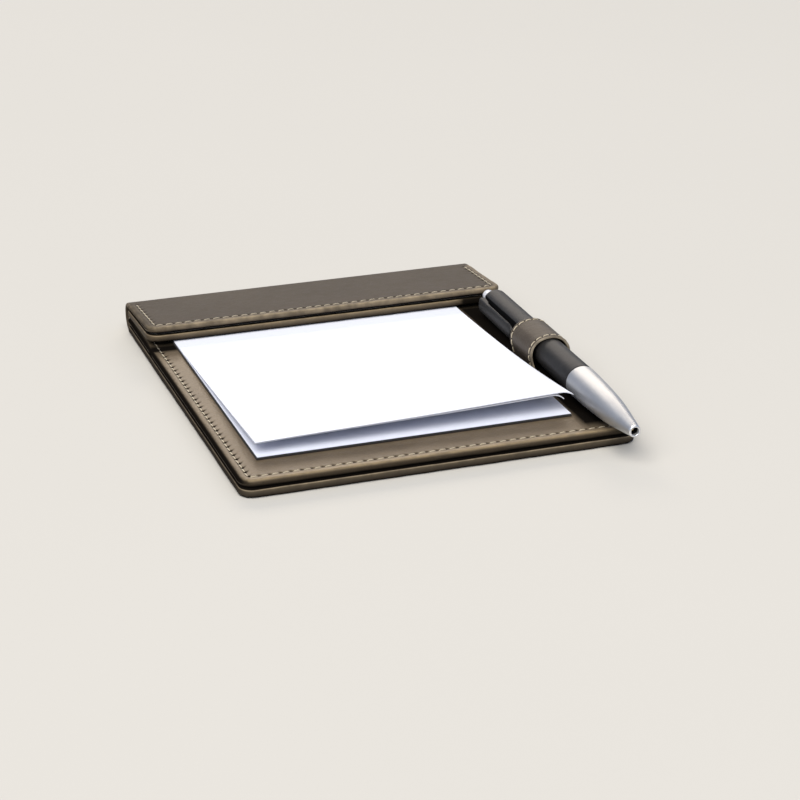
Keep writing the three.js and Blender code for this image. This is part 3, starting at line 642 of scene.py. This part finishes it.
# ------------------------------------------------------------------ stitches
class Tubes:
    def __init__(self):
        self.v, self.f, self.uv = [], [], []

    def add(self, line, radii, ups, sides=8):
        line = np.asarray(line, float)
        first = len(self.v)
        m = len(line)
        length = 0.0
        for j in range(m):
            t = line[min(j + 1, m - 1)] - line[max(j - 1, 0)]
            t = t / np.linalg.norm(t)
            up = np.asarray(ups[j], float)
            up = up - t * up.dot(t)
            up /= np.linalg.norm(up)
            side = np.cross(t, up)
            if j:
                length += np.linalg.norm(line[j] - line[j - 1])
            for i in range(sides):
                a = 2 * math.pi * i / sides
                self.v.append(tuple(line[j] + radii[j] * (math.cos(a) * side + 0.85 * math.sin(a) * up)))
                self.uv.append((length, i / sides))
        for j in range(m - 1):
            for i in range(sides):
                a, b = first + j * sides + i, first + j * sides + (i + 1) % sides
                self.f.append((a, b, b + sides, a + sides))
        self.f.append(tuple(range(first, first + sides))[::-1])
        self.f.append(tuple(range(first + (m - 1) * sides, first + m * sides)))


STEPS = [-1.0, -0.93, -0.78, -0.5, -0.2, 0.15, 0.5, 0.78, 0.93, 1.0]


def stitch_row(tubes, outline, z_face, up, length, radius, lift, tilt, seed, skip_ends=0):
    rng = np.random.default_rng(seed)
    holes = outline.holes
    for j in range(skip_ends, len(holes) - 1 - skip_ends):
        mid = (holes[j] + holes[j + 1]) / 2
        half = length / 2 * (1 + rng.uniform(-0.05, 0.05))
        jit, lf = rng.uniform(-0.05, 0.05), lift + rng.uniform(-0.02, 0.02)
        line, rad, ups = [], [], []
        for q in STEPS:
            p, o = outline.seam_point(mid + q * half)
            side = tilt * q + jit - 0.10
            x, y = p[0] - o[0] * side, p[1] - o[1] * side
            t = (y - outline.y0) / (outline.y1 - outline.y0)
            h = lf - 0.42 * abs(q) ** 5
            line.append((x, y, lerp(z_face[0], z_face[1], t) + up * h))
            rad.append(radius * (1.0 - 0.25 * abs(q) ** 4))
            ups.append((0, 0, up))
        tubes.add(line, rad, ups)


tb = Tubes()
stitch_row(tb, base_line, (6.05, 6.05), 1.0, base_line.pitch - 1.0, 0.18, -0.01, 0.16, 3)
stitch_row(tb, base_line, (0.0, 0.0), -1.0, base_line.pitch - 0.7, 0.17, -0.20, 0.10, 5)
base_thread = build("base_stitches", tb.v, tb.f, BASE_THREAD, uvs=tb.uv)
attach(base_thread, "base")
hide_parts("base_seam_thread")

tf = Tubes()
stitch_row(tf, flap_line, (13.2, 10.9), 1.0, flap_line.pitch - 0.95, 0.20, 0.07, 0.18, 11)
stitch_row(tf, flap_line, (7.55, 6.38), -1.0, flap_line.pitch - 0.8, 0.18, -0.10, 0.10, 13, skip_ends=3)
flap_thread = build("flap_stitches", tf.v, tf.f, FLAP_THREAD, uvs=tf.uv)
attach(flap_thread, "flap")
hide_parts("flap_seam_thread")

# ------------------------------------------------------------------ pen loop
LOOP_LINE = [(118.3, 5.2), (118.0, 6.2), (117.65, 7.4), (116.95, 9.8), (116.77, 12.3), (117.35, 14.5), (119.1, 16.45), (121.6, 17.6),
             (124.3, 17.92), (127.0, 17.45), (129.4, 15.95), (130.95, 13.7), (131.45, 11.3), (131.2, 8.8), (130.45, 6.9), (130.1, 5.9), (130.05, 5.2)]
LOOP_Y = (54.4, 73.2)
LOOP_T = 0.8
lp = catmull(LOOP_LINE, 12)
seg = np.hypot(*np.diff(lp, axis=0).T)
arc = np.concatenate([[0], np.cumsum(seg)])
NS = 150
us = np.linspace(0, arc[-1], NS)
lp = np.stack([np.interp(us, arc, lp[:, 0]), np.interp(us, arc, lp[:, 1])], 1)
tan = np.gradient(lp, axis=0)
tan /= np.linalg.norm(tan, axis=1)[:, None]
nor = np.stack([-tan[:, 1], tan[:, 0]], 1)
EDGE_IN = 1.55
loop_pitch = 2.75
loop_holes = 1.2 + loop_pitch * np.arange(int((arc[-1] - 2) / loop_pitch) + 1)
yA, yB = LOOP_Y
outer_y = [0.0, 0.12, 0.3, 0.55, 0.85, 1.1, 1.3, 1.45, 1.55, 1.68, 1.85, 2.1, 2.5, 3.2, 4.4, 6.4, 9.4]
outer_y = outer_y + [LOOP_Y[1] - LOOP_Y[0] - q for q in reversed(outer_y[:-1])]
wid = LOOP_Y[1] - LOOP_Y[0]
prof = []          # (y from the front edge, offset outwards, kind)
for q in outer_y:
    e = min(q, wid - q)
    r = 0.34
    drop = r - math.sqrt(max(0.0, r * r - max(0.0, r - e) ** 2))
    prof.append((q, -drop, 0))
prof += [(wid + 0.04, -0.5, 1), (wid, -LOOP_T + 0.12, 1), (wid - 0.2, -LOOP_T, 1)]
prof += [(wid * f, -LOOP_T, 2) for f in (0.85, 0.5, 0.15)]
prof += [(0.2, -LOOP_T, 1), (0.0, -LOOP_T + 0.12, 1), (-0.04, -0.5, 1)]
lv, lf, le, lc = [], [], [], []
for i in range(NS):
    s = us[i]
    da = np.abs(loop_holes - s).min()
    skew = 0.35 * n1(s / 9.0, 2.2, 0.0)
    for (q, off, kind) in prof:
        e = min(q, wid - q)
        d, c = 0.0, 0.0
        if kind == 0:
            g = e - EDGE_IN
            d = 0.07 * math.exp(-((g / 0.35) ** 2)) + 0.22 * math.exp(-((g / 0.28) ** 2) - (da / 0.34) ** 2)
            d -= 0.06 * math.exp(-(((g + 0.85) / 0.5) ** 2))
            d += 0.10 * n1(s / 7.0, q / 8.0, 3.0) * smooth(0, 4, e)
            c = 0.85 * math.exp(-((g / 0.26) ** 2) - (da / 0.4) ** 2) + 0.2 * math.exp(-((g / 0.22) ** 2))
        p = lp[i] + nor[i] * (off - d)
        lv.append((p[0], yA + q + skew * (1 - q / wid) * 0.5, p[1]))
        # painted highlight on the strap's rims and cut sides; painted shade in the stitch holes and grooves and over
        # the whole inner face
        le.append(0.95 if kind == 1 else (0.55 * smooth(0.55, 0.1, e) if kind == 0 else 0.0))
        lc.append(min(1.0, c) if kind != 2 else 0.55)
M = len(prof)
for i in range(NS - 1):
    for j in range(M):
        a, b = i * M + j, i * M + (j + 1) % M
        lf.append((a, b, b + M, a + M))
lf.append(tuple(range(M)))
lf.append(tuple(range((NS - 1) * M, NS * M))[::-1])
loop = build("loop_strap", lv, lf, LOOP_LEATHER, attrs={"edge": le, "cav": lc})
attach(loop, "base")
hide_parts("pen_loop")


def loop_stitches(name, y, node, seed):
    rng = np.random.default_rng(seed)
    t = Tubes()
    for j in range(len(loop_holes) - 1):
        mid, half = (loop_holes[j] + loop_holes[j + 1]) / 2, (loop_pitch - 0.55) / 2
        jit = rng.uniform(-0.05, 0.05)
        line, rad, ups = [], [], []
        for q in STEPS:
            s = mid + q * half
            x, z = np.interp(s, us, lp[:, 0]), np.interp(s, us, lp[:, 1])
            nx, nz = np.interp(s, us, nor[:, 0]), np.interp(s, us, nor[:, 1])
            h = 0.07 - 0.30 * abs(q) ** 5
            line.append((x + nx * h, y + jit + 0.10 * q + 0.2 * 0.35 * n1(s / 9.0, 2.2, 0.0), z + nz * h))
            rad.append(0.20 * (1 - 0.25 * abs(q) ** 4))
            ups.append((nx, 0, nz))
        t.add(line, rad, ups)
    o = build(name, t.v, t.f, THREAD, uvs=t.uv)
    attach(o, "base")
    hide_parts(node)


loop_stitches("loop_stitches_front", yA + EDGE_IN, "pen_loop_thread_front", 21)
loop_stitches("loop_stitches_rear", yB - EDGE_IN, "pen_loop_thread_rear", 22)


# ------------------------------------------------------------------ pad
def leaf(x0, x1, y0, y1, z_fn, thick, nx, ny, rough_front=0.0, seed=0.0, lip=0.0):
    """one sheet of paper, closed, with its height given by z_fn(u, v); v runs from the rear (0) to the front (1)"""
    v, f = [], []
    for side in (1, 0):
        for j in range(ny + 1):
            for i in range(nx + 1):
                u, t = i / nx, j / ny
                x, y = lerp(x0, x1, u), lerp(y1, y0, t)
                if j == ny:
                    y += rough_front * n1(x / 0.9, seed, 0.3)
                dx, z = z_fn(u, t)
                v.append((x + dx, y, z + side * thick * (1 + lip * (0.3 + 0.7 * u) * t ** 4)))
    N = (nx + 1) * (ny + 1)
    idx = lambda i, j: j * (nx + 1) + i
    for j in range(ny):
        for i in range(nx):
            a, b, c, d = idx(i, j), idx(i + 1, j), idx(i + 1, j + 1), idx(i, j + 1)
            f.append((a, d, c, b))
            f.append((a + N, b + N, c + N, d + N))
    rim = [idx(i, 0) for i in range(nx)] + [idx(nx, j) for j in range(ny)] + [idx(i, ny) for i in range(nx, 0, -1)] + [idx(0, j) for j in range(ny, 0, -1)]
    for k, a in enumerate(rim):
        b = rim[(k + 1) % len(rim)]
        f.append((a, b, b + N, a + N))
    return v, f


def join(parts):
    V, F = [], []
    for v, f in parts:
        n = len(V)
        V += v
        F += [tuple(q + n for q in g) for g in f]
    return V, F


rng = np.random.default_rng(4)
stack = []
for q in range(5):
    z = 6.69 + 0.068 * q
    a, b, c = rng.uniform(-0.10, 0.10, 3)
    inn = 0.0 if q == 4 else 0.38
    stack.append(leaf(9.2 + a * 0.4 + inn, 114.5 + a * 0.6 - inn, 14.3 + b * 0.4 + inn, 140.0, lambda u, t, z=z, q=q: (0.0, z + 0.012 * math.sin(3 * u + q)), 0.055, 12, 12, 0.02, q))
# the rear of the two lifted sheets, pressed down under the flap
for z0, z1, xs in ((7.06, 7.05, -1.2), (7.17, 7.14, 0.0)):
    stack.append(leaf(9.3, 114.4 + xs, 113.3, 139.9, lambda u, t, z0=z0, z1=z1: (0.0, lerp(z1, z0, smooth(0.75, 1.0, t))), 0.05, 8, 16))
sv, sf = join(stack)
# the block takes the darker paper as painted shade; the sheets' rear parts above it take the plain paper
block = build("pad_leaves", sv, sf, PAPER_PAINTED_SHADE, sharp=35)
block.data.materials.append(PAPER)
block.data.polygons.foreach_set("material_index", [1 if poly.center.z > 0.007035 else 0 for poly in block.data.polygons])
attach(block, "pad")
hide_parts("pad_sheet_block")
# the near-black backing card, a little wider than the sheets at left and front: painted shade
cv_, cf_ = leaf(8.9, 114.6, 14.05, 140.0, lambda u, t: (0.0, 6.25), 0.39, 20, 20)
card = build("pad_card", cv_, cf_, PAINTED_SHADE_CARD, sharp=35)
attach(card, "pad")
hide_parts("pad_backing_card")


def lifted(z0, lift_l, lift_r, curl, ph, reach=0.0):
    def fn(u, t):
        s = t ** 1.25
        z = z0 + lerp(lift_l, lift_r, u) * s
        c = max(0.0, (u - 0.955) / 0.045)
        z -= curl * (c ** 2.2) * s
        z += 0.10 * math.sin(2.2 * math.pi * u + ph) * s
        dx = -0.35 * (c ** 2) * s + reach * max(0.0, (u - 0.5) / 0.5) ** 2 * max(0.0, (t - 0.4) / 0.6) ** 2
        return dx, z
    return fn


def curl_leaf(name, z0, ll, lr, curl, xs, ys, ph, node, seed, reach=0.0):
    nx, ny = 90, 60
    v, f = leaf(9.3, 114.4 + xs, 16.2 + ys, 113.3 - 0.18 * (name == "leaf_top"), lifted(z0, ll, lr, curl, ph, reach), 0.075, nx, ny, 0.10, seed, 3.2)
    o = build(name, v, f, PAPER, sharp=40)
    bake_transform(o)
    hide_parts(node)
    return o


curl_leaf("leaf_second", 7.07, 3.50, 6.0, 1.8, -1.2, 0.3, 0.4, "second_sheet", 3.1)
curl_leaf("leaf_top", 7.20, 3.75, 6.65, 1.4, 0.0, 0.0, 1.1, "top_sheet", 8.4, 1.9)


# ------------------------------------------------------------------ pen
def turned(profile, seg=96, closed=True):
    v, f = [], []
    m = len(profile)
    for r, s in profile:
        for i in range(seg):
            a = 2 * math.pi * i / seg
            v.append((r * math.cos(a), s, r * math.sin(a)))
    for j in range(m - (0 if closed else 1)):
        k = (j + 1) % m
        for i in range(seg):
            a, b = j * seg + i, j * seg + (i + 1) % seg
            c, d = k * seg + (i + 1) % seg, k * seg + i
            f.append((a, d, c, b))
    return v, f


def profile_line(points, per=5):
    return [tuple(p) for p in catmull(points, per)]


nose_curve = profile_line([(2.02, 0.75), (2.4, 3.2), (3.05, 7.4), (3.62, 11.4), (4.12, 15.2), (4.62, 20.2), (5.02, 27.0), (5.3, 34.0), (5.46, 40.0), (5.5, 43.45)], 5)
nose_prof = nose_curve + [(5.47, 43.62), (5.38, 43.72), (4.4, 43.72), (4.35, 36.6), (2.9, 36.6), (2.9, 14.5), (2.2, 8.4), (1.5, 8.2), (1.3, 5.0), (1.25, 1.2), (1.25, 0.9)]
nv, nf = turned(nose_prof, 112)
nose = build("nose_cone", nv, nf, SILVER, pen_place, sharp=38)
import bmesh


def fix_normals(ob):
    bm = bmesh.new()
    bm.from_mesh(ob.data)
    bmesh.ops.recalc_face_normals(bm, faces=bm.faces)
    bm.to_mesh(ob.data)
    bm.free()
    return ob


fix_normals(nose)
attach(nose, "pen")
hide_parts("pen_nose_cone")
TIP = metal("tip_ring", (0.74, 0.74, 0.75), 0.22, 0.75, 0.02)
rv, rf_ = turned([(2.02, 0.80), (2.03, 0.55), (1.98, 0.26), (1.88, 0.10), (1.72, 0.02), (1.55, 0.0), (1.40, 0.05), (1.29, 0.18), (1.26, 0.4), (1.26, 1.1), (1.8, 1.1), (1.95, 0.95)], 96)
ring = build("nose_tip_ring", rv, rf_, TIP, pen_place)
fix_normals(ring)
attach(ring, "pen")
# a black tube lining the nose's bore: painted shade
bv, bf_ = turned([(1.25, 1.2), (1.25, 4.9), (1.24, 4.9), (1.24, 1.2)], 48)
bore = fix_normals(build("nose_bore", bv, bf_, PAINTED_SHADE_BLACK, pen_place))
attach(bore, "pen")


def barrel_r(s):
    return lerp(5.44, 4.66, (s - 43.8) / (122.0 - 43.8))


rows = [(4.1, 43.0), (4.2, 43.95), (5.12, 43.98), (5.28, 44.06), (5.38, 44.22), (barrel_r(44.6), 44.6), (barrel_r(50), 50)]
rows += [(barrel_r(s), s) for s in (60, 70, 80, 88, 91.6, 92.1, 92.28)]
cut_from = len(rows)
REAR = 2.6          # the barrel ends this much behind the cam sleeve's seat
rows += [(barrel_r(s), s) for s in (92.3, 92.5, 93, 96, 100, 106, 112, 118, 120.4 + REAR)]
rows += [(barrel_r(121) - 0.02, 121.0 + REAR), (barrel_r(121.5) - 0.10, 121.45 + REAR), (barrel_r(121.8) - 0.30, 121.78 + REAR), (barrel_r(122) - 0.62, 121.95 + REAR), (3.75, 122.0 + REAR), (2.45, 122.0 + REAR), (2.32, 121.85 + REAR), (2.3, 119.6), (3.1, 119.5), (3.1, 43.0)]
SEG = 144
pv, pf = [], []
for j, (r, s) in enumerate(rows):
    for i in range(SEG):
        a = 2 * math.pi * i / SEG
        x, z = r * math.cos(a), r * math.sin(a)
        if cut_from <= j < len(rows) - 5 and x < -3.65:
            x = -3.65
        pv.append((x, s, z))
m = len(rows)
for j in range(m):
    k = (j + 1) % m
    for i in range(SEG):
        a, b = j * SEG + i, j * SEG + (i + 1) % SEG
        pf.append((a, k * SEG + i, k * SEG + (i + 1) % SEG, b))
barrel = fix_normals(build("barrel", pv, pf, BLACK, pen_place, sharp=32))
# the flat recess under the clip takes the black material: painted shade
barrel.data.materials.append(PAINTED_SHADE_BLACK)
recess = []
for poly in barrel.data.polygons:
    ring_ids = [pv[q] for q in poly.vertices]
    recess.append(1 if all(abs(q[0] + 3.65) < 1e-6 for q in ring_ids) else 0)
barrel.data.polygons.foreach_set("material_index", recess)
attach(barrel, "pen")
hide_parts("pen_barrel")

# clip: crowned arm with a rounded free end, and a root in the barrel's rear
ZT, ZB = 2.25, -2.95
srows = [93.4 + 2.2 * (1 - math.cos(math.pi / 2 * q / 12)) for q in range(0, 13)] + [97, 99, 102, 106, 110, 114, 117, 119, 120.2 + REAR, 121.0 + REAR, 121.5 + REAR, 121.8 + REAR, 121.95 + REAR]
kv, kf = [], []
NC = 34
for s in srows:
    top = ZT if s > 95.6 else 0.3 + (ZT - 0.3) * math.sqrt(max(0.0, 1 - ((95.6 - s) / 2.2) ** 2))
    bot = ZB if s > 95.2 else -1.2 + (ZB + 1.2) * math.sqrt(max(0.0, 1 - ((95.2 - s) / 1.8) ** 2))
    back = smooth(121.0 + REAR, 121.95 + REAR, s)
    xo = -6.42 + 0.25 * smooth(97, 93.4, s) + 0.35 * back
    xi = -5.2 + 1.08 * smooth(118.6, 119.3, s) * (1 - 0.3 * back)
    mid, half = (top + bot) / 2, (top - bot) / 2
    half *= (1 - 0.10 * back)
    re = 0.42
    loop_pts = []
    no = 14
    for q in range(no + 1):            # outer face, bottom to top, crowned
        w = lerp(-1, 1, q / no)
        z = mid + half * w
        x = xo + 0.62 * abs(w) ** 2.2
        edge_d = half - abs(z - mid)
        if edge_d < re:
            x += re - math.sqrt(max(0, re * re - (re - edge_d) ** 2))
        loop_pts.append((x, z))
    for q in range(no + 1):            # inner face, top to bottom
        w = lerp(1, -1, q / no)
        z = mid + half * w * 0.985
        loop_pts.append((xi, z))
    for x, z in loop_pts:
        kv.append((x, s, z))
    NC = len(loop_pts)
for j in range(len(srows) - 1):
    for i in range(NC):
        a, b = j * NC + i, j * NC + (i + 1) % NC
        kf.append((a, b, b + NC, a + NC))
kf.append(tuple(range(NC)))
kf.append(tuple(range((len(srows) - 1) * NC, len(srows) * NC))[::-1])
clip = fix_normals(build("clip", kv, kf, BLACK, pen_place, sharp=40))
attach(clip, "pen_clip")
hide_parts("pen_clip")

# return spring: a round wire coil between the nose cone's seat and the refill's shoulder
coil = Tubes()
n_coil = 7 * 28
line = [(1.72 * math.cos(2 * math.pi * 7 * q / n_coil), lerp(9.1, 22.2, q / n_coil), 1.72 * math.sin(2 * math.pi * 7 * q / n_coil)) for q in range(n_coil + 1)]
coil.add(line, [0.22] * (n_coil + 1), [(p[0], 0.0, p[2]) for p in line], 8)
spring = fix_normals(build("return_spring", coil.v, coil.f, STEEL, pen_place))
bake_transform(spring)
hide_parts("pen_spring")

uv_, uf_ = turned([(0.001, 113.5), (2.2, 113.5), (2.2, 130.1), (2.17, 130.8), (2.05, 131.4), (1.8, 131.88), (1.4, 132.22), (0.9, 132.42), (0.4, 132.5), (0.001, 132.51)], 56, closed=False)
button = fix_normals(build("push_button", uv_, uf_, BUTTON, pen_place, sharp=60))
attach(button, "pen_button")
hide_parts("pen_button")

# ------------------------------------------------------------------ floor, light, camera
floor_m = Mat("floor")
fn_ = floor_m.noise(3.0, 3, 0.5)
FLOOR = floor_m.set(Base__Color=floor_m.ramp(fn_, [(0.3, (0.562, 0.540, 0.490)), (0.7, (0.570, 0.547, 0.497))]), Roughness=0.9, Specular__IOR__Level=0.1)
fm = bpy.data.meshes.new("floor")
fm.from_pydata([(-6, -6, -0.00005), (6, -6, -0.00005), (6, 6, -0.00005), (-6, 6, -0.00005)], [], [(0, 1, 2, 3)])
fm.materials.append(FLOOR)
floor = bpy.data.objects.new("floor", fm)
bpy.context.scene.collection.objects.link(floor)

world = bpy.data.worlds.new("studio")
world.use_nodes = True
bg = world.node_tree.nodes["Background"]
bg.inputs[0].default_value = (0.50, 0.66, 1.0, 1.0)
bg.inputs[1].default_value = 0.36
bpy.context.scene.world = world


def softbox(name, azimuth, elevation, wide, tall, radiance, color, far=8.0):
    """A far, flat softbox: its direction, its apparent size in degrees, and its brightness. Azimuth 0 is behind the object, 90 to the right."""
    a, e = math.radians(azimuth), math.radians(elevation)
    loc = Vector((math.sin(a) * math.cos(e), math.cos(a) * math.cos(e), math.sin(e))) * far
    li = bpy.data.lights.new(name, "AREA")
    li.shape = "RECTANGLE"
    li.size, li.size_y = 2 * far * math.tan(math.radians(wide / 2)), 2 * far * math.tan(math.radians(tall / 2))
    li.energy = radiance * math.pi * li.size * li.size_y
    li.color = color
    o = bpy.data.objects.new(name, li)
    o.location = loc
    o.rotation_mode = "QUATERNION"
    o.rotation_quaternion = (-loc).to_track_quat("-Z", "Y")
    bpy.context.scene.collection.objects.link(o)
    return o


softbox("key", 220, 58, 60, 50, 4.9, (1.0, 0.965, 0.91))
softbox("back", 14, 31, 46, 20, 4.6, (1.0, 0.89, 0.76))

cam_data = bpy.data.cameras.new("camera")
cam = bpy.data.objects.new("camera", cam_data)
bpy.context.scene.collection.objects.link(cam)
az, el = math.radians(-19.342), math.radians(22.604)
back = Vector((math.sin(az) * math.cos(el), -math.cos(az) * math.cos(el), math.sin(el)))
cam.location = Vector((0.005671, -0.019144, 0.0)) + back * 0.760
cam.rotation_mode = "QUATERNION"
cam.rotation_quaternion = (-back).to_track_quat("-Z", "Y")
cam_data.sensor_width = 36.0
cam_data.lens = 36.0 * 2264.925 / 800.0
cam_data.clip_start, cam_data.clip_end = 0.01, 50.0
bpy.context.scene.camera = cam
bpy.context.scene.view_settings.view_transform = "Standard"
